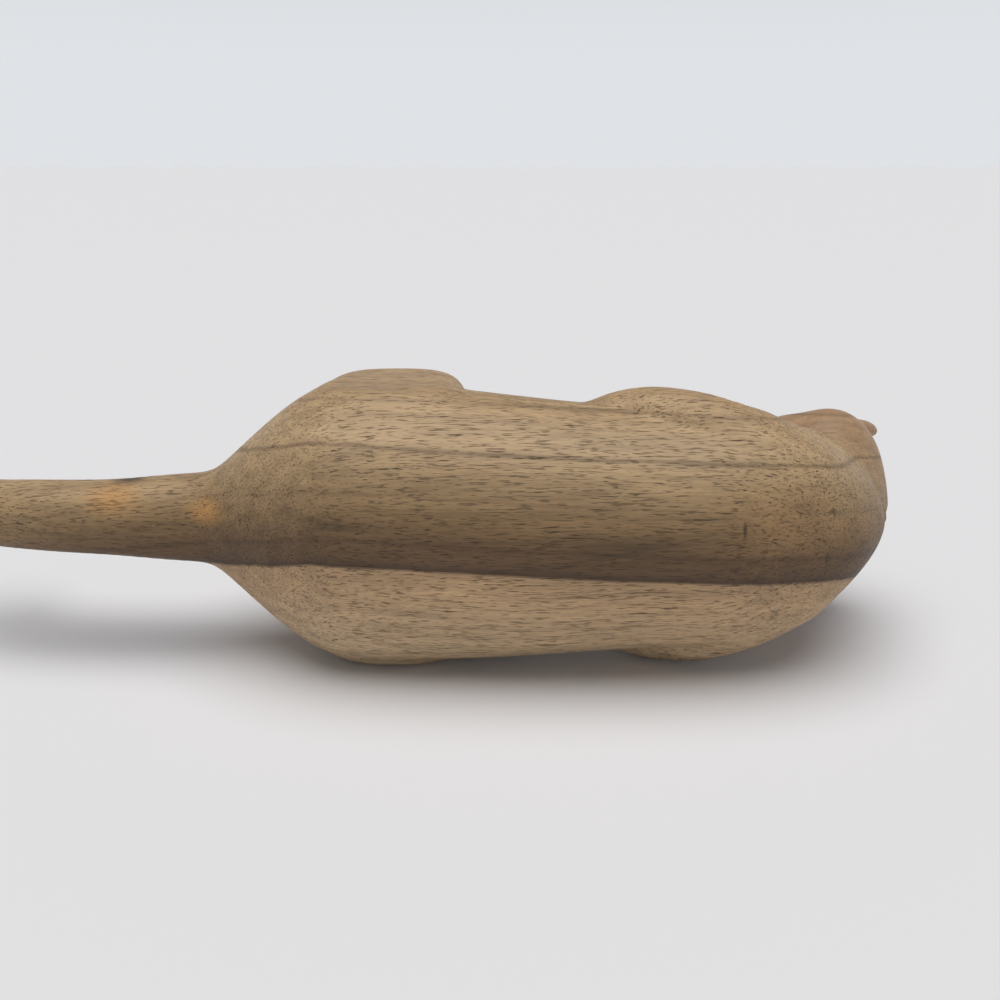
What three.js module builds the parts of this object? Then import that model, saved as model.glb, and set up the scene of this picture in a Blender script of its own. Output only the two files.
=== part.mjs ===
import * as THREE from 'three';

// A sea otter carved from one block of wood. It floats on its back with its head raised
// and its paws held together, and the carving lies on its flank, on the flats that the
// block's face left on its thigh and upper arm. All sizes are in millimetres.
//
// In the carving's own frame x runs from the tail to the head, y from the back to the
// belly, and z across the body from its middle. The limbs are mirrored in z.

// Driving dimensions of the block, the trunk and the tail
const halfBlock = 44.6;
const trunk = {
  tailRoot: -117,
  haunch: -47,
  chest: 58,
  nape: 123.4,
  rootHalfWidth: 3,
  haunchHalfWidth: 45,
  chestHalfWidth: 38,
  rootHalfDepth: 6,
  loinHalfDepth: 36.5,
  chestHalfDepth: 33,
  rootLine: 5.3,
  backLine: -5.9,
  napeRise: 11.6,
  lineFrom: -102,
  lineTo: 32,
  napeTaper: 0.64,
};

// Centre line and radius of the tail, whose tip curls towards the belly
const tailLine = [
  [-80, 5.3, 0, 13.4],
  [-98, 5.3, 0, 14.4],
  [-125, 5.3, 0, 12.4],
  [-150, 7.6, 0, 11.6],
  [-170, 12, 0, 10.6],
  [-184, 24, 0, 8.6],
  [-188, 38, 0, 5.2],
];

// Limbs, on the side where z is positive, as rows of x, y, z and radius or as centres
const thigh = { centre: [-34, 9.7, 17], radii: [25.6, 30.5, 37.4], squareness: 2.7, flatEdge: 6 };
const foot = { centre: [-53, 36.5, 14.8], radii: [24, 7, 10.6], along: [-1, 0.08, -0.12] };
const upperArmLine = [
  [29.3, -1.6, 31.4, 8.4],
  [40.9, -1.2, 31.9, 11.5],
  [52.2, -5.1, 32.4, 12],
  [67.4, -10, 29.5, 12],
  [86, -9.2, 14.1, 16],
];
const forearmLine = [
  [37, 0, 29, 10.5],
  [44, 14, 24, 9.6],
  [54, 28.5, 15, 8],
  [63, 35, 8, 6.8],
];
const paw = { centre: [66.5, 36.5, 6.6], radii: [9, 5.8, 6.6] };
const breast = { centre: [78, 14, 0], radii: [26, 22, 24] };
const neckLine = [
  [92, -2, 0, 22],
  [110.3, 21.2, 0, 14.8],
];
const nape = { centre: [95, 13, 0], radii: [25, 17, 28] };

// The head, placed by its middle and turned so that the face looks over the belly
const headMiddle = new THREE.Vector3(113, 33.2, 0);
const headTilt = THREE.MathUtils.degToRad(35);
const toFace = new THREE.Vector3(-Math.cos(headTilt), Math.sin(headTilt), 0);
const toCrown = new THREE.Vector3(Math.sin(headTilt), Math.cos(headTilt), 0);
const toSide = new THREE.Vector3(0, 0, 1);

// Points of the head are given as far forward, up and sideways of its middle
const skull = { centre: [0, 0, 0], radii: [19.7, 22, 29.4] };
const cheeks = { centre: [14, -3, 0], radii: [18, 17, 25.4] };
const muzzle = { centre: [26, -5.5, 0], radii: [12, 10.5, 16] };
const whiskerPad = { centre: [32, -7.5, 6.6], radii: [7.2, 6.6, 7.8] };
const chin = { centre: [27, -15.2, 0], radii: [8.5, 4.6, 9] };
const nose = { centre: [36.2, -1.2, 0], radii: [4, 3.8, 6.2] };
const mouthLine = [
  [40, -12.2, 0, 0.9],
  [37, -13.6, 6.5, 1],
  [29, -12.3, 15, 0.7],
];
const eyeSocket = { centre: [27, 7.2, 13.8], radii: [3.6, 3.4, 4.2] };
const eye = { centre: [24.6, 5.2, 12.6], radii: [3.1, 2.9, 3.3] };
const ear = { centre: [-7.6, 12.6, 21.5], radii: [6.5, 2.8, 3.8] };

// Signed distances: negative inside a form, positive outside. Two forms join or cut
// with a rounded edge, as wide as the blend.
function union(a, b, blend) {
  const reach = 1.5 * blend;
  const near = Math.max(reach - Math.abs(a - b), 0) / reach;
  return Math.min(a, b) - (near ** 3 * blend) / 4;
}

function cut(a, b, blend) {
  return -union(-a, b, blend);
}

const parts = new THREE.Vector3();

function ellipsoid(centre, radii, axes) {
  const [along, across, wide] = axes;
  return (point) => {
    parts.subVectors(point, centre);
    const x = parts.dot(along) / radii[0];
    const y = parts.dot(across) / radii[1];
    const z = parts.dot(wide) / radii[2];
    const reach = Math.sqrt(x * x + y * y + z * z);
    const slope = Math.sqrt((x / radii[0]) ** 2 + (y / radii[1]) ** 2 + (z / radii[2]) ** 2);
    return (reach * (reach - 1)) / (slope + 1e-6);
  };
}

// An ellipsoid whose sections are squarer than ellipses
function boulder({ centre, radii, squareness }) {
  return (point) => {
    const offsets = point.toArray().map((value, i) => Math.abs(value - centre[i]) / radii[i] + 1e-6);
    const powers = offsets.reduce((sum, offset) => sum + offset ** squareness, 0);
    const reach = powers ** (1 / squareness);
    const slopes = offsets.map((offset, i) => offset ** (squareness - 1) / radii[i]);
    return ((reach - 1) * reach ** (squareness - 1)) / Math.hypot(...slopes);
  };
}

// A round limb along the smooth curve through rows of x, y, z and radius
function limb(rows, pieces) {
  const smooth = (points) => new THREE.CatmullRomCurve3(points, false, 'catmullrom').getPoints(pieces);
  const centres = smooth(rows.map(([x, y, z]) => new THREE.Vector3(x, y, z)));
  const radii = smooth(rows.map((row) => new THREE.Vector3(row[3], 0, 0))).map((value) => value.x);
  const steps = centres.slice(1).map((centre, i) => centre.clone().sub(centres[i]));
  return (point) => {
    let nearest = Infinity;
    steps.forEach((step, i) => {
      parts.subVectors(point, centres[i]);
      const share = THREE.MathUtils.clamp(parts.dot(step) / step.lengthSq(), 0, 1);
      const distance = parts.addScaledVector(step, -share).length();
      nearest = Math.min(nearest, distance - THREE.MathUtils.lerp(radii[i], radii[i + 1], share));
    });
    return nearest;
  };
}

// The trunk is elliptic in section. It swells from the tail's root to the haunch,
// narrows gently to the chest and closes at the nape, where the back line rises.
function trunkDistance(point) {
  const { lerp, smoothstep, clamp } = THREE.MathUtils;
  const rear = smoothstep(point.x, trunk.tailRoot, trunk.haunch);
  const fore = smoothstep(point.x, trunk.haunch, trunk.chest);
  const end = clamp((point.x - trunk.chest) / (trunk.nape - trunk.chest), 0, 0.9999);
  const closing = 1 - end * end;
  const barrelWidth = lerp(trunk.haunchHalfWidth, trunk.chestHalfWidth, fore);
  const barrelDepth = lerp(trunk.loinHalfDepth, trunk.chestHalfDepth, fore);
  const width = Math.max(lerp(trunk.rootHalfWidth, barrelWidth, rear) * closing ** trunk.napeTaper, 1);
  const depth = Math.max(lerp(trunk.rootHalfDepth, barrelDepth, rear) * Math.sqrt(closing), 1);
  const spine = smoothstep(point.x, trunk.lineFrom, trunk.lineTo);
  const line = lerp(trunk.rootLine, trunk.backLine, spine) + trunk.napeRise * end * end;
  const y = (point.y - line) / depth;
  const z = point.z / width;
  const reach = Math.sqrt(y * y + z * z);
  const section = (reach * (reach - 1)) / (Math.sqrt((y / depth) ** 2 + (z / width) ** 2) + 1e-6);
  const swell = clamp((point.x - trunk.tailRoot) / (trunk.haunch - trunk.tailRoot), 0, 1);
  const flare = (6 * swell * (1 - swell) * (trunk.haunchHalfWidth - trunk.rootHalfWidth)) /
    (trunk.haunch - trunk.tailRoot);
  const taper = (1.6 * end * trunk.chestHalfWidth) / (trunk.nape - trunk.chest);
  const side = section / Math.sqrt(1 + flare * flare + taper * taper);
  const ends = Math.max(trunk.tailRoot - 4 - point.x, point.x - trunk.nape);
  return cut(side, -ends, 2);
}

// The head's forms, in its own directions
const headAxes = [toFace, toCrown, toSide];
const bodyAxes = [new THREE.Vector3(1, 0, 0), new THREE.Vector3(0, 1, 0), toSide];

function headPoint([forward, up, sideways]) {
  return headMiddle
    .clone()
    .addScaledVector(toFace, forward)
    .addScaledVector(toCrown, up)
    .addScaledVector(toSide, sideways);
}

function headForm({ centre, radii }, axes = headAxes) {
  return ellipsoid(headPoint(centre), radii, axes);
}

// Axes of a flat form from its long direction and the direction of its width
function axesAlong(length, width) {
  const along = length.clone().normalize();
  const wide = width.clone().addScaledVector(along, -along.dot(width)).normalize();
  return [along, wide.clone().cross(along), wide];
}

const earLength = toCrown.clone().multiplyScalar(0.85).addScaledVector(toSide, -0.3).addScaledVector(toFace, -0.3);
const earWidth = toFace.clone().multiplyScalar(0.9).addScaledVector(toCrown, 0.3);
const headForms = {
  skull: headForm(skull),
  cheeks: headForm(cheeks),
  muzzle: headForm(muzzle),
  whiskerPad: headForm(whiskerPad),
  chin: headForm(chin),
  nose: headForm(nose),
  mouth: limb(mouthLine.map((row) => [...headPoint(row).toArray(), row[3]]), mouthLine.length - 1),
  eyeSocket: headForm(eyeSocket),
  eye: headForm(eye),
  ear: headForm(ear, axesAlong(earLength, earWidth)),
};

// The face is symmetric, so what comes in pairs is measured at the mirrored point
function headDistance(point, mirrored) {
  let distance = union(headForms.skull(point), headForms.cheeks(point), 8);
  distance = union(distance, headForms.muzzle(point), 5);
  distance = union(distance, headForms.whiskerPad(mirrored), 1.2);
  distance = union(distance, headForms.chin(point), 2.5);
  distance = cut(distance, headForms.mouth(mirrored), 1);
  distance = union(distance, headForms.nose(point), 1.2);
  distance = cut(distance, headForms.eyeSocket(mirrored), 2.5);
  return union(distance, headForms.eye(mirrored), 0.4);
}

const bodyForm = ({ centre, radii }, axes = bodyAxes) => ellipsoid(new THREE.Vector3(...centre), radii, axes);
const bodyForms = {
  tail: limb(tailLine, 18),
  thigh: boulder(thigh),
  upperArm: limb(upperArmLine, 12),
  breast: bodyForm(breast),
  forearm: limb(forearmLine, 8),
  paw: bodyForm(paw),
  foot: bodyForm(foot, axesAlong(new THREE.Vector3(...foot.along), toSide)),
  neck: limb(neckLine, 1),
  nape: bodyForm(nape),
};

// The shoulders meet over the spine without a seam, as the mirrored side is rounded off
// within this distance of the middle
const spineWidth = 8;

function shoulderSide(z) {
  const side = Math.abs(z);
  return side < spineWidth ? (side * side) / (2 * spineWidth) + spineWidth / 2 : side;
}

// The whole otter, as its forms blend into each other, inside the faces of the block
function otterDistance(point) {
  const { clamp } = THREE.MathUtils;
  const side = Math.abs(point.z);
  const mirrored = new THREE.Vector3(point.x, point.y, side);
  const shoulder = new THREE.Vector3(point.x, point.y, shoulderSide(point.z));
  const elbowToShoulder = clamp(0.8 + (point.x - 60) * 0.4, 0.8, 9);
  const midToCheek = clamp(13 - 0.35 * side, 6, 13);
  let distance = union(trunkDistance(point), bodyForms.tail(point), 4);
  distance = union(distance, cut(bodyForms.thigh(mirrored), halfBlock - side, thigh.flatEdge), 3);
  distance = union(distance, bodyForms.upperArm(shoulder), elbowToShoulder);
  distance = union(distance, bodyForms.breast(point), 5);
  distance = union(distance, union(bodyForms.forearm(mirrored), bodyForms.paw(mirrored), 2), 3);
  distance = union(distance, bodyForms.foot(mirrored), 3);
  distance = union(distance, bodyForms.neck(point), midToCheek);
  distance = union(distance, bodyForms.nape(point), 5);
  distance = union(distance, headDistance(point, mirrored), midToCheek);
  distance = union(distance, headForms.ear(mirrored), 1.5);
  return Math.max(distance, side - halfBlock);
}

// Grid across the carving, as rows of a place and the spacing of the lines there. It is
// fine about the head, the paws and the feet, and coarse along the trunk and the tail.
const xSpacing = [[-200, 5], [-150, 9], [-100, 6], [-30, 9], [15, 9], [45, 4.5], [88, 2.8], [142, 2.8]];
const ySpacing = [[-45, 7], [5, 6.5], [26, 3.2], [66, 3]];
const sideSpacing = [[1.45, 2.9], [20, 3], [34, 5], [50, 5]];

function gridLines(rows) {
  const [end] = rows[rows.length - 1];
  const lines = [];
  for (let line = rows[0][0]; line < end;) {
    lines.push(line);
    const next = rows.findIndex(([place]) => place > line);
    const [[near, spacingNear], [far, spacingFar]] = rows.slice(next - 1, next + 1);
    line += THREE.MathUtils.mapLinear(line, near, far, spacingNear, spacingFar);
  }
  return lines;
}

const sideLines = gridLines(sideSpacing);
const zLines = [...sideLines.map((z) => -z).reverse(), ...sideLines];

// Moves a point onto the surface along the field's gradient, and no further than reach.
// A point that ends up close to a face of the block is set exactly on it.
const settlingPasses = 4;
const probe = 0.2;
const onFaceOfBlock = 0.05;

function settle(field, point, reach) {
  const start = point.clone();
  const gradient = new THREE.Vector3();
  const shifted = new THREE.Vector3();
  for (let pass = 0; pass < settlingPasses; pass += 1) {
    for (let axis = 0; axis < 3; axis += 1) {
      const ahead = field(shifted.copy(point).setComponent(axis, point.getComponent(axis) + probe));
      const behind = field(shifted.copy(point).setComponent(axis, point.getComponent(axis) - probe));
      gradient.setComponent(axis, (ahead - behind) / (2 * probe));
    }
    point.addScaledVector(gradient, -field(point) / Math.max(gradient.lengthSq(), 0.1));
  }
  point.sub(start).clampLength(0, reach).add(start);
  if (Math.abs(point.z) > halfBlock - onFaceOfBlock) {
    point.z = Math.sign(point.z) * halfBlock;
  }
  return point;
}

// The surface where the field is zero, as triangles. Each cell of the grid holds one
// vertex for each sheet of the surface that passes through it, and each grid edge that
// the surface crosses gets one four-sided face between the cells around it.
function surfaceOf(field, lines) {
  const counts = lines.map((values) => values.length);
  const strides = [counts[1] * counts[2], counts[2], 1];
  const node = (place) => place[0] * strides[0] + place[1] * strides[1] + place[2];
  const position = (place) => new THREE.Vector3(...place.map((step, axis) => lines[axis][step]));
  const values = new Float64Array(counts[0] * strides[0]);
  forEachPlace(counts, (place) => {
    values[node(place)] = field(position(place));
  });

  const moved = (place, axis, by) => place.map((step, i) => (i === axis ? step + by : step));
  const inside = (place) => values[node(place)] < 0;
  const crossing = (place, axis) => inside(place) !== inside(moved(place, axis, 1));

  // An edge of a cell: its lower node, its direction, and where the cell lies around it
  function edgeOf(cell, axis, first, second) {
    const place = moved(moved(cell, (axis + 1) % 3, first), (axis + 2) % 3, second);
    return { place, axis, key: (node(place) * 3 + axis) * 4 + first * 2 + second };
  }

  // The pairs of crossed edges that the surface joins across one face of a cell
  function pairsOnFace(cell, axis, side) {
    const corner = moved(cell, axis, side);
    const u = (axis + 1) % 3;
    const v = (axis + 2) % 3;
    const low = edgeOf(cell, u, 0, side);
    const high = edgeOf(cell, u, 1, side);
    const left = edgeOf(cell, v, side, 0);
    const right = edgeOf(cell, v, side, 1);
    const crossed = [low, right, high, left].filter((edge) => crossing(edge.place, edge.axis));
    if (crossed.length < 4) {
      return crossed.length === 2 ? [crossed] : [];
    }
    const opposite = moved(moved(corner, u, 1), v, 1);
    const centre = position(corner).add(position(opposite)).multiplyScalar(0.5);
    return (field(centre) < 0) === inside(corner) ? [[low, right], [high, left]] : [[low, left], [high, right]];
  }

  const vertices = [];
  const vertexAt = new Map();

  function crossingPoint({ place, axis }) {
    const far = moved(place, axis, 1);
    const share = values[node(place)] / (values[node(place)] - values[node(far)]);
    return position(place).lerp(position(far), share);
  }

  function addSheets(cell) {
    const links = new Map();
    for (let axis = 0; axis < 3; axis += 1) {
      for (const side of [0, 1]) {
        for (const [a, b] of pairsOnFace(cell, axis, side)) {
          links.set(a.key, [...(links.get(a.key) ?? [a]), b]);
          links.set(b.key, [...(links.get(b.key) ?? [b]), a]);
        }
      }
    }
    const diagonal = position(moved(moved(moved(cell, 0, 1), 1, 1), 2, 1)).distanceTo(position(cell));
    for (const [start] of links) {
      if (vertexAt.has(start)) {
        continue;
      }
      const loop = [];
      let open = [start];
      while (open.length > 0) {
        const key = open.pop();
        if (!vertexAt.has(key)) {
          vertexAt.set(key, vertices.length);
          loop.push(links.get(key)[0]);
          open = open.concat(links.get(key).slice(1).map((edge) => edge.key));
        }
      }
      const middle = new THREE.Vector3();
      loop.forEach((edge) => middle.add(crossingPoint(edge)));
      vertices.push(settle(field, middle.divideScalar(loop.length), diagonal / 3));
    }
  }
  forEachPlace(counts.map((count) => count - 1), addSheets);

  const triangles = [];
  forEachPlace(counts, (place) => {
    for (let axis = 0; axis < 3; axis += 1) {
      if (place[axis] === counts[axis] - 1 || !crossing(place, axis)) {
        continue;
      }
      const key = (node(place) * 3 + axis) * 4;
      const around = [0, 2, 3, 1].map((quarter) => vertexAt.get(key + quarter));
      const face = inside(place) ? around : around.reverse();
      const [a, b, c, d] = face;
      if (vertices[a].distanceTo(vertices[c]) < vertices[b].distanceTo(vertices[d])) {
        triangles.push(a, b, c, a, c, d);
      } else {
        triangles.push(a, b, d, b, c, d);
      }
    }
  });
  return { vertices, triangles };
}

function forEachPlace(counts, visit) {
  for (let i = 0; i < counts[0]; i += 1) {
    for (let j = 0; j < counts[1]; j += 1) {
      for (let k = 0; k < counts[2]; k += 1) {
        visit([i, j, k]);
      }
    }
  }
}

const surface = surfaceOf(otterDistance, [gridLines(xSpacing), gridLines(ySpacing), zLines]);
const geometry = new THREE.BufferGeometry().setFromPoints(surface.vertices);
geometry.setIndex(surface.triangles);
geometry.computeVertexNormals();

const walnut = new THREE.MeshStandardMaterial({ color: 0x8a6038, roughness: 0.6, metalness: 0 });
const otter = new THREE.Mesh(geometry, walnut);
otter.name = 'otter';

// The carving lies on the block's lower face, with its middle over the origin
const middleOfLength = -30;
const middleOfDepth = 8.4;
otter.position.set(-middleOfLength, -middleOfDepth, halfBlock);

const carving = new THREE.Group();
carving.add(otter);

export default carving;
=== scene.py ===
import math

import bpy
import numpy as np
from mathutils import Matrix, Vector


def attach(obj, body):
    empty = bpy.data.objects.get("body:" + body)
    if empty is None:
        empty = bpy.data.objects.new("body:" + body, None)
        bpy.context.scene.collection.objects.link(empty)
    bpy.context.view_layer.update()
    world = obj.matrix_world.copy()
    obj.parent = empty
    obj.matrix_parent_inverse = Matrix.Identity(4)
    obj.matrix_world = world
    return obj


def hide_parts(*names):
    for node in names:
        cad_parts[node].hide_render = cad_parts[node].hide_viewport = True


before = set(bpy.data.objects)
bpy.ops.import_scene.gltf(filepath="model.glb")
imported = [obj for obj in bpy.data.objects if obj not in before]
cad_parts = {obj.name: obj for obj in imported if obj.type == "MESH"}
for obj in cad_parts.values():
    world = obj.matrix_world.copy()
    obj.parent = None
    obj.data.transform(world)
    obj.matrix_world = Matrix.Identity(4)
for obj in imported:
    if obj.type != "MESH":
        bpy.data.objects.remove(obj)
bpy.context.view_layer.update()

# The otter's form. It is one carving, cut from a single block with its grain along the
# body, and it lies on the flats that the block left on its thigh and upper arm. Sizes are
# in millimetres in the carving's own frame: x to the head, y to the belly, z across the
# body from its middle. Paired limbs are measured at the mirrored side.
HALF_BLOCK = 44.6
MIDDLE = np.array([-30.0, 8.4, -HALF_BLOCK])
MM = 0.001


def joined(a, b, blend):
    reach = 1.5 * blend
    near = np.maximum(reach - np.abs(a - b), 0) / reach
    return np.minimum(a, b) - near**3 * blend / 4


def cut_by(a, b, blend):
    return -joined(-a, b, blend)


def ramp(x, low, high):
    share = np.clip((x - low) / (high - low), 0, 1)
    return share * share * (3 - 2 * share)


def mix(a, b, share):
    return a + (b - a) * share


def ellipsoid(x, y, z, centre, radii, axes=((1, 0, 0), (0, 1, 0), (0, 0, 1))):
    offset = x - centre[0], y - centre[1], z - centre[2]
    parts = [sum(c * o for c, o in zip(axis, offset)) / r for axis, r in zip(axes, radii)]
    reach = np.sqrt(sum(part**2 for part in parts))
    slope = np.sqrt(sum((part / r) ** 2 for part, r in zip(parts, radii)))
    return reach * (reach - 1) / (slope + 1e-6)


def boulder(x, y, z, centre, radii, squareness):
    parts = [np.abs(v - c) / r + 1e-6 for v, c, r in zip((x, y, z), centre, radii)]
    reach = sum(part**squareness for part in parts) ** (1 / squareness)
    slopes = np.sqrt(sum((part ** (squareness - 1) / r) ** 2 for part, r in zip(parts, radii)))
    return (reach - 1) * reach ** (squareness - 1) / slopes


def smooth_line(rows, pieces):
    """Points on the smooth curve through rows of x, y, z and radius."""
    rows = np.array(rows, float)
    ends = np.vstack([2 * rows[0] - rows[1], rows, 2 * rows[-1] - rows[-2]])
    line = []
    for place in np.linspace(0, len(rows) - 1, pieces + 1):
        i = min(int(place), len(rows) - 2)
        t = place - i
        a, b, c, d = ends[i : i + 4]
        bend = (2 * a - 5 * b + 4 * c - d) * t**2 + (3 * b - a - 3 * c + d) * t**3
        line.append(b + 0.5 * ((c - a) * t + bend))
    return line


def limb(x, y, z, line, softness=0.25):
    """Round limb along a line. Near its joints the pieces' distances are averaged."""
    distances = []
    for a, b in zip(line[:-1], line[1:]):
        step = b - a
        along = (x - a[0]) * step[0] + (y - a[1]) * step[1] + (z - a[2]) * step[2]
        share = np.clip(along / (step[:3] @ step[:3]), 0, 1)
        gaps = (x - a[0] - share * step[0], y - a[1] - share * step[1], z - a[2] - share * step[2])
        distances.append(np.sqrt(sum(gap**2 for gap in gaps)) - a[3] - share * step[3])
    nearest = distances[0]
    for distance in distances[1:]:
        nearest = np.minimum(nearest, distance)
    weights = [np.exp((nearest - distance) / softness) for distance in distances]
    return sum(w * d for w, d in zip(weights, distances)) / sum(weights)


def trunk(x, y, z):
    tail_root, haunch, chest, nape = -117, -47, 58, 123.4
    rear = ramp(x, tail_root, haunch)
    fore = ramp(x, haunch, chest)
    end = np.clip((x - chest) / (nape - chest), 0, 0.9999)
    closing = 1 - end**2
    width = np.maximum(mix(3, mix(45, 38, fore), rear) * closing**0.64, 1)
    depth = np.maximum(mix(6, mix(36.5, 33, fore), rear) * np.sqrt(closing), 1)
    line = mix(5.3, -5.9, ramp(x, -102, 32)) + 11.6 * end**2
    across, side = (y - line) / depth, z / width
    reach = np.sqrt(across**2 + side**2)
    section = reach * (reach - 1) / (np.sqrt((across / depth) ** 2 + (side / width) ** 2) + 1e-6)
    swell = np.clip((x - tail_root) / (haunch - tail_root), 0, 1)
    flare = 6 * swell * (1 - swell) * (45 - 3) / (haunch - tail_root)
    taper = 1.6 * end * 38 / (nape - chest)
    ends = np.maximum(tail_root - 4 - x, x - nape)
    return cut_by(section / np.sqrt(1 + flare**2 + taper**2), -ends, 2)


TAIL = smooth_line(
    [
        (-80, 5.3, 0, 13.4),
        (-98, 5.3, 0, 14.4),
        (-125, 5.3, 0, 12.4),
        (-150, 7.6, 0, 11.6),
        (-170, 12, 0, 10.6),
        (-184, 24, 0, 8.6),
        (-188, 38, 0, 5.2),
    ],
    36,
)
UPPER_ARM = smooth_line(
    [
        (29.3, -1.6, 31.4, 8.4),
        (40.9, -1.2, 31.9, 11.5),
        (52.2, -5.1, 32.4, 12),
        (67.4, -10, 29.5, 12),
        (86, -9.2, 14.1, 16),
    ],
    20,
)
FOREARM = smooth_line(
    [(37, 0, 29, 10.5), (44, 14, 24, 9.6), (54, 28.5, 15, 8), (63, 35, 8, 6.8)], 14
)
FINGERS = 3
NECK = smooth_line([(92, -2, 0, 22), (110.3, 21.2, 0, 14.8)], 1)

FOOT = np.array([-53, 36.5, 14.8])
FOOT_ALONG = np.array([-1, 0.08, -0.12]) / np.linalg.norm([-1, 0.08, -0.12])
FOOT_WIDE = np.array([0, 0, 1]) - FOOT_ALONG * FOOT_ALONG[2]
FOOT_WIDE /= np.linalg.norm(FOOT_WIDE)
FOOT_AXES = (FOOT_ALONG, np.cross(FOOT_WIDE, FOOT_ALONG), FOOT_WIDE)
TOES = 5

HEAD = np.array([113, 33.2, 0])
TILT = math.radians(35)
TO_FACE = np.array([-math.cos(TILT), math.sin(TILT), 0])
TO_CROWN = np.array([math.sin(TILT), math.cos(TILT), 0])
TO_SIDE = np.array([0, 0, 1])
HEAD_AXES = (TO_FACE, TO_CROWN, TO_SIDE)


def head_point(forward, up, sideways=0.0):
    return HEAD + TO_FACE * forward + TO_CROWN * up + TO_SIDE * sideways


def head_line(*rows):
    return [np.append(head_point(*row[:3]), row[3]) for row in rows]


EAR_LENGTH = TO_CROWN * 0.85 - TO_SIDE * 0.3 - TO_FACE * 0.3
EAR_LENGTH = EAR_LENGTH / np.linalg.norm(EAR_LENGTH)
EAR_WIDTH = TO_FACE * 0.9 + TO_CROWN * 0.3
EAR_WIDTH = EAR_WIDTH - EAR_LENGTH * (EAR_LENGTH @ EAR_WIDTH)
EAR_WIDTH /= np.linalg.norm(EAR_WIDTH)
EAR_AXES = (EAR_LENGTH, np.cross(EAR_WIDTH, EAR_LENGTH), EAR_WIDTH)


def foot(x, y, side):
    form = ellipsoid(x, y, side, FOOT, (24, 7, 10.6), FOOT_AXES)
    for toe in range(1, TOES):
        spread = 4.2 * (toe - TOES / 2)
        line = []
        for along, up, radius in ((2, 7.6, 0.4), (12, 6.4, 0.9), (22, 3.4, 1.2), (26, -3, 1.2)):
            place = (along, up, spread * (0.6 + 0.4 * along / 24))
            point = FOOT + sum(axis * value for axis, value in zip(FOOT_AXES, place))
            line.append(np.append(point, radius))
        form = cut_by(form, limb(x, y, side, line), 1.2)
    return form


def forearm(x, y, side):
    paw = ellipsoid(x, y, side, (66.5, 36.5, 6.6), (9, 5.8, 6.6))
    form = joined(limb(x, y, side, FOREARM), paw, 2)
    for gap in range(FINGERS):
        line = [
            np.array([62, 42.4, 3.4 + 3.4 * gap, 0.7]),
            np.array([76, 41, 2.6 + 3 * gap, 1]),
            np.array([78, 36, 2.6 + 3 * gap, 1]),
        ]
        form = cut_by(form, limb(x, y, side, line), 0.8)
    return form


def head(x, y, z, side):
    skull = ellipsoid(x, y, z, HEAD, (19.7, 22, 29.4), HEAD_AXES)
    form = joined(skull, ellipsoid(x, y, z, head_point(14, -3), (18, 17, 25.4), HEAD_AXES), 8)
    form = joined(form, ellipsoid(x, y, z, head_point(26, -5.5), (12, 10.5, 16), HEAD_AXES), 5)
    whisker_pad = ellipsoid(x, y, side, head_point(32, -7.5, 6.6), (7.2, 6.6, 7.8), HEAD_AXES)
    form = joined(form, whisker_pad, 1.2)
    chin = ellipsoid(x, y, z, head_point(27, -15.2), (8.5, 4.6, 9), HEAD_AXES)
    form = joined(form, chin, 2.5)
    mouth = head_line((40, -12.2, 0, 0.9), (37, -13.6, 6.5, 1), (29, -12.3, 15, 0.7))
    form = cut_by(form, limb(x, y, side, mouth), 1)
    nose = ellipsoid(x, y, z, head_point(36.2, -1.2), (4, 3.8, 6.2), HEAD_AXES)
    form = joined(form, nose, 1.2)
    lip = head_line((40.2, -4, 0, 0.5), (40, -12, 0, 0.8))
    form = cut_by(form, limb(x, y, z, lip), 0.8)
    nostril = ellipsoid(x, y, side, head_point(40, -1.6, 2.9), (1.6, 1, 1.4), HEAD_AXES)
    form = cut_by(form, nostril, 0.5)
    socket = ellipsoid(x, y, side, head_point(27, 7.2, 13.8), (3.6, 3.4, 4.2), HEAD_AXES)
    form = cut_by(form, socket, 2.5)
    eye = ellipsoid(x, y, side, head_point(24.6, 5.2, 12.6), (3.1, 2.9, 3.3), HEAD_AXES)
    return joined(form, eye, 0.4)


def otter_form(x, y, z):
    side = np.abs(z)
    shoulder = np.where(side < 8, side**2 / 16 + 4, side)
    form = joined(trunk(x, y, z), limb(x, y, z, TAIL), 4)
    thigh = boulder(x, y, side, (-34, 9.7, 17), (25.6, 30.5, 37.4), 2.7)
    form = joined(form, cut_by(thigh, HALF_BLOCK - side, 6), 3)
    elbow_to_shoulder = np.clip(0.8 + (x - 60) * 0.4, 0.8, 9)
    form = joined(form, limb(x, y, shoulder, UPPER_ARM), elbow_to_shoulder)
    form = joined(form, ellipsoid(x, y, z, (78, 14, 0), (26, 22, 24)), 5)
    form = joined(form, forearm(x, y, side), 3)
    form = joined(form, foot(x, y, side), 3)
    middle_to_cheek = np.clip(13 - 0.35 * side, 6, 13)
    form = joined(form, limb(x, y, z, NECK), middle_to_cheek)
    form = joined(form, ellipsoid(x, y, z, (95, 13, 0), (25, 17, 28)), 5)
    form = joined(form, head(x, y, z, side), middle_to_cheek)
    ear = ellipsoid(x, y, side, head_point(-7.6, 12.6, 21.5), (6.5, 2.8, 3.8), EAR_AXES)
    form = joined(form, ear, 1.5)
    return np.maximum(form, side - HALF_BLOCK)


# The carved surface. The form is sampled on a grid that is fine about the head, paws and
# feet, and every cell that the surface passes through gets a vertex on the surface.
def grid_lines(rows):
    lines = []
    line = rows[0][0]
    while line < rows[-1][0]:
        lines.append(line)
        line += np.interp(line, [row[0] for row in rows], [row[1] for row in rows])
    return np.array(lines)


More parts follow.
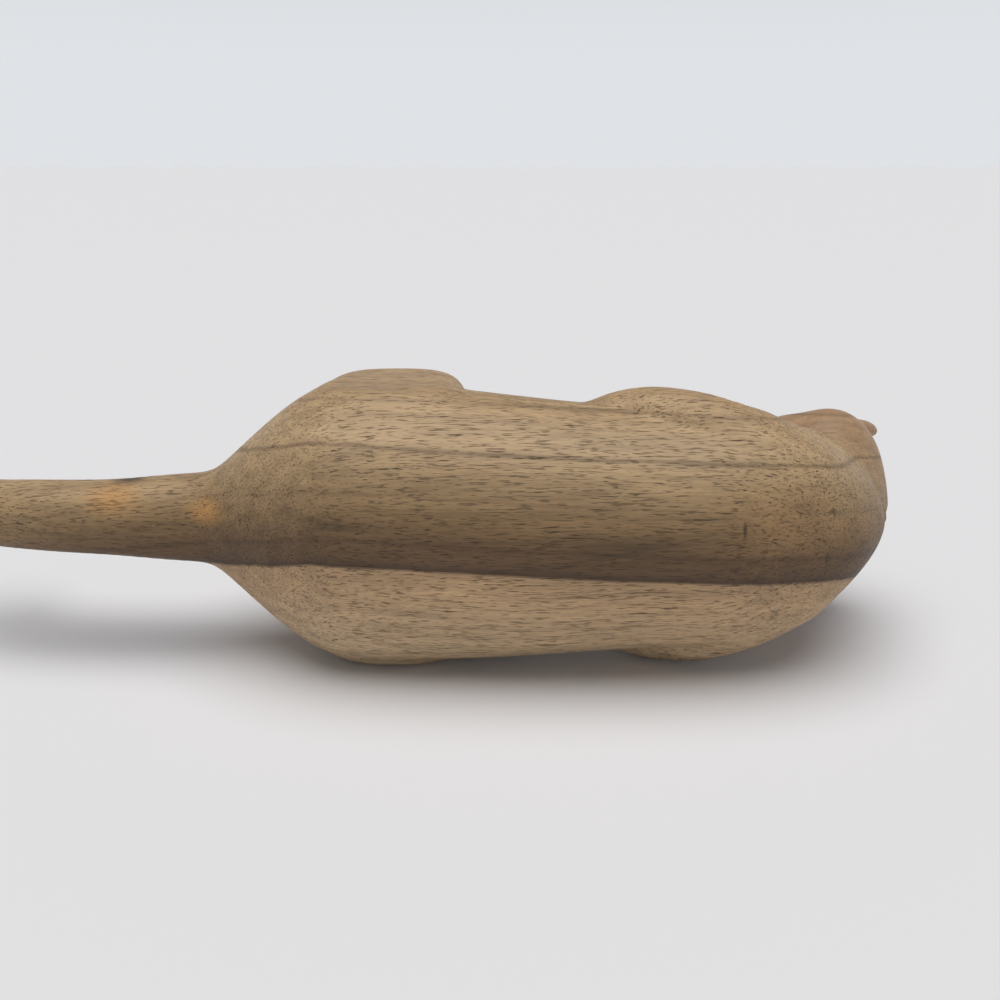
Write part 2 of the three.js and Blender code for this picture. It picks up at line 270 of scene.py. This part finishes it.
def surface_points(lines, values):
    """Cell numbers, vertices and faces of the surface where values is zero."""
    shape = values.shape
    inside = values < 0
    total = np.zeros(shape + (3,), np.float32)
    count = np.zeros(shape, np.int16)
    crossings = []
    for axis in range(3):
        near = [slice(None)] * 3
        far = [slice(None)] * 3
        near[axis], far[axis] = slice(0, -1), slice(1, None)
        crossed = np.argwhere(inside[tuple(near)] != inside[tuple(far)])
        ahead = crossed.copy()
        ahead[:, axis] += 1
        low, high = values[tuple(crossed.T)], values[tuple(ahead.T)]
        point = np.stack([lines[i][crossed[:, i]] for i in range(3)], 1)
        gap = lines[axis][ahead[:, axis]] - lines[axis][crossed[:, axis]]
        point[:, axis] += gap * low / (low - high)
        u, v = (axis + 1) % 3, (axis + 2) % 3
        around = []
        for du, dv in ((0, 0), (1, 0), (1, 1), (0, 1)):
            cell = crossed.copy()
            cell[:, u] -= du
            cell[:, v] -= dv
            np.add.at(total, tuple(cell.T), point)
            np.add.at(count, tuple(cell.T), 1)
            around.append(np.ravel_multi_index(tuple(cell.T), shape))
        around = np.stack(around, 1)
        outward = low < 0
        around[~outward] = around[~outward][:, ::-1]
        crossings.append(around)
    cells = np.flatnonzero(count)
    points = total.reshape(-1, 3)[cells] / count.reshape(-1)[cells, None]
    faces = np.searchsorted(cells, np.concatenate(crossings))
    return points.astype(float), faces


def settled(points, passes=2, probe=0.15):
    """Points moved onto the surface along the form's gradient."""
    for _ in range(passes):
        slope = np.zeros_like(points)
        for axis in range(3):
            shift = np.eye(3)[axis] * probe
            slope[:, axis] = (otter_form(*(points + shift).T) - otter_form(*(points - shift).T)) / (2 * probe)
        steps = otter_form(*points.T) / np.maximum((slope**2).sum(1), 0.1)
        points = points - slope * np.clip(steps, -0.6, 0.6)[:, None]
    on_block = np.abs(points[:, 2]) > HALF_BLOCK - 0.02
    points[on_block, 2] = np.sign(points[on_block, 2]) * HALF_BLOCK
    return points


X_SPACING = [(-200, 1.3), (-150, 2.0), (-100, 1.3), (-30, 1.8), (15, 1.8), (45, 1.0), (88, 0.72), (142, 0.72)]
Y_SPACING = [(-45, 1.5), (5, 1.5), (26, 0.8), (66, 0.8)]
SIDE_SPACING = [(0.35, 0.7), (20, 0.8), (34, 1.1), (48, 1.1)]
side_lines = grid_lines(SIDE_SPACING)
grid = [grid_lines(X_SPACING), grid_lines(Y_SPACING), np.append(-side_lines[0], side_lines)]
half = otter_form(grid[0][:, None, None], grid[1][None, :, None], grid[2][None, None, :])
whole = np.concatenate([half[:, :, :1:-1], half[:, :, 1:2], half[:, :, 1:]], 2)
grid[2] = np.concatenate([-side_lines[::-1], side_lines])
whole = np.concatenate([half[:, :, :0:-1], half[:, :, 1:]], 2)
points, faces = surface_points(grid, whole.astype(np.float32))
points = (settled(points) - MIDDLE) * MM

mesh = bpy.data.meshes.new("carved_otter")
mesh.from_pydata(points.tolist(), [], faces.tolist())
mesh.validate()
mesh.polygons.foreach_set("use_smooth", [True] * len(mesh.polygons))
otter = bpy.data.objects.new("carved_otter", mesh)
bpy.context.collection.objects.link(otter)
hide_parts("otter")
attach(otter, "root")


# The wood of the carving. It is dry, oiled walnut, sawn so that its growth rings lie nearly
# level: a golden upper flank, a dark heartwood band, and a pale sapwood strip below it.
# Every pattern runs through the block, so the carved form cuts it as a knife would.
class Socket:
    """A socket of a node tree, which takes part in plain arithmetic."""

    def __init__(self, tree, output=None):
        self.tree = tree
        self.output = output

    def node(self, kind, settings=None, inputs=None, output=0):
        made = self.tree.nodes.new(kind)
        for name, value in (settings or {}).items():
            if name == "stops":
                elements = made.color_ramp.elements
                while len(elements) < len(value):
                    elements.new(0.5)
                for element, (place, colour) in zip(elements, value):
                    element.position = place
                    element.color = (*colour, 1)
            else:
                setattr(made, name, value)
        for name, value in (inputs or {}).items():
            if isinstance(value, Socket):
                self.tree.links.new(value.output, made.inputs[name])
            else:
                made.inputs[name].default_value = value
        return Socket(self.tree, made.outputs[output])

    def math(self, operation, first, second):
        settings = {"operation": operation}
        return self.node("ShaderNodeMath", settings, {0: first, 1: second})

    def __add__(self, other):
        return self.math("ADD", self, other)

    def __radd__(self, other):
        return self.math("ADD", other, self)

    def __sub__(self, other):
        return self.math("SUBTRACT", self, other)

    def __rsub__(self, other):
        return self.math("SUBTRACT", other, self)

    def __mul__(self, other):
        return self.math("MULTIPLY", self, other)

    def __rmul__(self, other):
        return self.math("MULTIPLY", other, self)

    def step(self, low, high):
        """0 where the value is low, 1 where it is high, and smooth between."""
        settings = {"interpolation_type": "SMOOTHSTEP"}
        inputs = {"Value": self, "From Min": low, "From Max": high}
        return self.node("ShaderNodeMapRange", settings, inputs)

    def stretched(self, along, across):
        """A pattern's place in the wood, drawn out along the grain."""
        settings = {"operation": "MULTIPLY"}
        return self.node("ShaderNodeVectorMath", settings, {0: self, 1: (along, across, across)})

    def noise(self, detail, roughness):
        inputs = {"Vector": self, "Scale": 1.0, "Detail": detail, "Roughness": roughness}
        return self.node("ShaderNodeTexNoise", {}, inputs)

    def spot(self, centre, radii):
        """1 at the centre of a soft oval in the wood, 0 outside its radii."""
        offset = self.node("ShaderNodeVectorMath", {"operation": "SUBTRACT"}, {0: self, 1: centre})
        share = self.node("ShaderNodeVectorMath", {"operation": "DIVIDE"}, {0: offset, 1: radii})
        reach = self.node("ShaderNodeVectorMath", {"operation": "LENGTH"}, {0: share}, "Value")
        return 1 - reach.step(0.15, 1.0)

    def mixed(self, colour, share, how="MIX"):
        """This colour with another laid over it by a share from 0 to 1."""
        settings = {"data_type": "RGBA", "blend_type": how}
        return self.node("ShaderNodeMix", settings, {0: share, 6: self, 7: colour}, 2)


wood = bpy.data.materials.new("oiled_walnut")
wood.use_nodes = True
wood.node_tree.nodes.clear()
start = Socket(wood.node_tree)
place = start.node("ShaderNodeTexCoord", {}, {}, "Object")
grain = start.node(
    "ShaderNodeVectorMath", {"operation": "MULTIPLY_ADD"}, {0: place, 1: (1000,) * 3, 2: tuple(MIDDLE)}
)
x, y, z = (start.node("ShaderNodeSeparateXYZ", {}, {0: grain}, axis) for axis in "XYZ")

# Height above the sapwood's edge, in millimetres. The rings dip towards the head, curl
# down into the tail and lift over the knot.
knot = grain.spot((-119, 3.5, 13), (24, 14, 14))
wander = grain.stretched(0.008, 0.03).noise(2, 0.5) - 0.5
waver = grain.stretched(0.03, 0.22).noise(3, 0.6) - 0.5
tail_dip = start.math("MAXIMUM", -55 - x, 0)
level = z + y * 0.17 + x * 0.043 + 10.1 + tail_dip * 0.17 + wander * 3 + waver * 1.6 + knot * 5
LOWEST = -35
SPAN = 90
RING_COLOURS = [
    (-30, (0.52, 0.38, 0.23)),
    (-8, (0.47, 0.31, 0.17)),
    (-0.9, (0.40, 0.26, 0.14)),
    (0.1, (0.07, 0.04, 0.022)),
    (2.5, (0.12, 0.07, 0.035)),
    (8, (0.14, 0.08, 0.037)),
    (16, (0.24, 0.15, 0.07)),
    (28, (0.37, 0.25, 0.13)),
    (38, (0.47, 0.325, 0.18)),
    (50, (0.44, 0.295, 0.155)),
]
stops = [((height - LOWEST) / SPAN, colour) for height, colour in RING_COLOURS]
colour = start.node("ShaderNodeValToRGB", {"stops": stops}, {0: (level - LOWEST) * (1 / SPAN)})

# Heart colour of the tail, the ochre shoulder and the redder head
orange = start.math("MAXIMUM", grain.spot((-122, -3, 9), (13, 14, 7)), grain.spot((-91, -10, 6.5), (9, 12, 6)))
colour = colour.mixed((0.46, 0.24, 0.08, 1), orange * 0.75)
colour = colour.mixed((0.32, 0.185, 0.08, 1), grain.spot((84, -33, 11), (34, 22, 15)) * 0.45)
head_wood = x.step(84, 100) * y.step(8, 24)
colour = colour.mixed((0.34, 0.20, 0.115, 1), head_wood * 0.6)

# Dark late-wood lines, the stained patches and the knot
for height, width, strength in ((34.9, 0.55, 0.5), (7.5, 0.7, 0.45), (48.2, 0.45, 0.3), (21.5, 0.4, 0.2)):
    distance = start.math("ABSOLUTE", level - height, 0)
    colour = colour.mixed((0.08, 0.045, 0.025, 1), (1 - distance.step(0, width * 2)) * strength)
STAINS = [
    ((-50, -33, 10.5), (15, 14, 4), 0.55),
    ((27, -34.5, 20), (15, 14, 5), 0.28),
    ((38, -39, 3), (26, 14, 6), 0.55),
    ((70, -37, 9.4), (0.9, 8, 3.8), 0.8),
    ((97.7, -27, 12), (2, 6, 1.2), 0.6),
    ((96.2, -30, -1.9), (0.8, 8, 3.2), 0.6),
    ((-119, 5, 14), (9, 7, 3.4), 0.97),
]
smoke = grain.stretched(0.05, 0.5).noise(3, 0.6).step(0.3, 0.65)
for centre, radii, strength in STAINS:
    ragged = smoke if radii[0] > 10 else 1.0
    colour = colour.mixed((0.035, 0.024, 0.014, 1), grain.spot(centre, radii) * strength * ragged)

# Figure, fibres and the open pores, which are cut lengthwise on the back
figure = grain.stretched(0.014, 0.28).noise(3, 0.55)
fibre = grain.stretched(0.07, 1.3).noise(5, 0.7)
fine_pores = grain.stretched(0.2, 2.3).noise(1, 0.5).step(0.56, 0.66)
long_pores = grain.stretched(0.11, 1.5).noise(2, 0.6).step(0.62, 0.70)
openness = 1 - head_wood * 0.6
pores = start.math("MAXIMUM", fine_pores * 0.55, long_pores * 0.85) * openness
tone = 1 + (figure - 0.5) * 0.9 + (fibre - 0.5) * 0.9
shade = start.node("ShaderNodeCombineXYZ", {}, {0: tone, 1: tone, 2: tone})
colour = colour.mixed(shade, 1.0, "MULTIPLY")
colour = colour.mixed((0.05, 0.03, 0.016, 1), pores)

relief = fibre * 0.35 - pores
bump = start.node("ShaderNodeBump", {}, {"Strength": 0.6, "Distance": 0.00018, "Height": relief})
finish = {"Base Color": colour, "Roughness": 0.5 + pores * 0.3 + (fibre - 0.5) * 0.25, "Normal": bump}
finish["Specular IOR Level"] = 0.35
surface = start.node("ShaderNodeBsdfPrincipled", {}, finish)
out = wood.node_tree.nodes.new("ShaderNodeOutputMaterial")
wood.node_tree.links.new(surface.output, out.inputs["Surface"])
mesh.materials.append(wood)

# The floor is a plain pale sheet that runs on far past the carving on every side.
FLOOR_REACH = 60
corners = [(-1, -1), (1, -1), (1, 1), (-1, 1)]
floor_mesh = bpy.data.meshes.new("floor")
floor_mesh.from_pydata([(a * FLOOR_REACH, b * FLOOR_REACH, 0) for a, b in corners], [], [(0, 1, 2, 3)])
floor = bpy.data.objects.new("floor", floor_mesh)
bpy.context.collection.objects.link(floor)
card = bpy.data.materials.new("pale_card")
card.use_nodes = True
card_shader = card.node_tree.nodes["Principled BSDF"]
card_shader.inputs["Base Color"].default_value = (0.79, 0.79, 0.80, 1)
card_shader.inputs["Roughness"].default_value = 0.9
card_shader.inputs["Specular IOR Level"].default_value = 0.1
floor_mesh.materials.append(card)

# One very wide soft light hangs overhead, a little to the front. The room is dim above
# and pale low down, where its walls are.
soft_light = bpy.data.lights.new("soft_overhead", "SUN")
soft_light.energy = 2.45
soft_light.angle = math.radians(62)
soft_light.color = (1, 0.985, 0.97)
overhead = bpy.data.objects.new("soft_overhead", soft_light)
overhead.rotation_mode = "QUATERNION"
overhead.rotation_quaternion = Vector((0.02, 0.09, -1)).to_track_quat("-Z", "Y")
bpy.context.collection.objects.link(overhead)
world = bpy.data.worlds.new("room")
world.use_nodes = True
room = Socket(world.node_tree)
direction = room.node("ShaderNodeTexCoord", {}, {}, "Generated")
height = room.node("ShaderNodeSeparateXYZ", {}, {0: direction}, "Z")
above = height.step(0.08, 0.5)
walls = room.node(
    "ShaderNodeMix", {"data_type": "RGBA"}, {0: above, 6: (0.74, 0.76, 0.79, 1), 7: (0.13, 0.135, 0.15, 1)}, 2
)
world.node_tree.links.new(walls.output, world.node_tree.nodes["Background"].inputs["Color"])
bpy.context.scene.world = world

# The camera stands close to the carving, and looks along +Y and down by 17 degrees.
camera_data = bpy.data.cameras.new("camera")
camera_data.sensor_width = 36
camera_data.lens = 39.6
camera_data.clip_start = 0.01
camera_data.clip_end = 200
camera = bpy.data.objects.new("camera", camera_data)
bpy.context.collection.objects.link(camera)
DOWN = math.radians(17)
AWAY = 352
RISE = 7.04
forward = np.array([0, math.cos(DOWN), -math.sin(DOWN)])
upward = np.array([0, math.sin(DOWN), math.cos(DOWN)])
camera.location = Vector((-forward * AWAY + upward * RISE - MIDDLE) * MM)
camera.rotation_mode = "QUATERNION"
camera.rotation_quaternion = Vector(forward).to_track_quat("-Z", "Y")
bpy.context.scene.camera = camera
bpy.context.scene.view_settings.view_transform = "Standard"
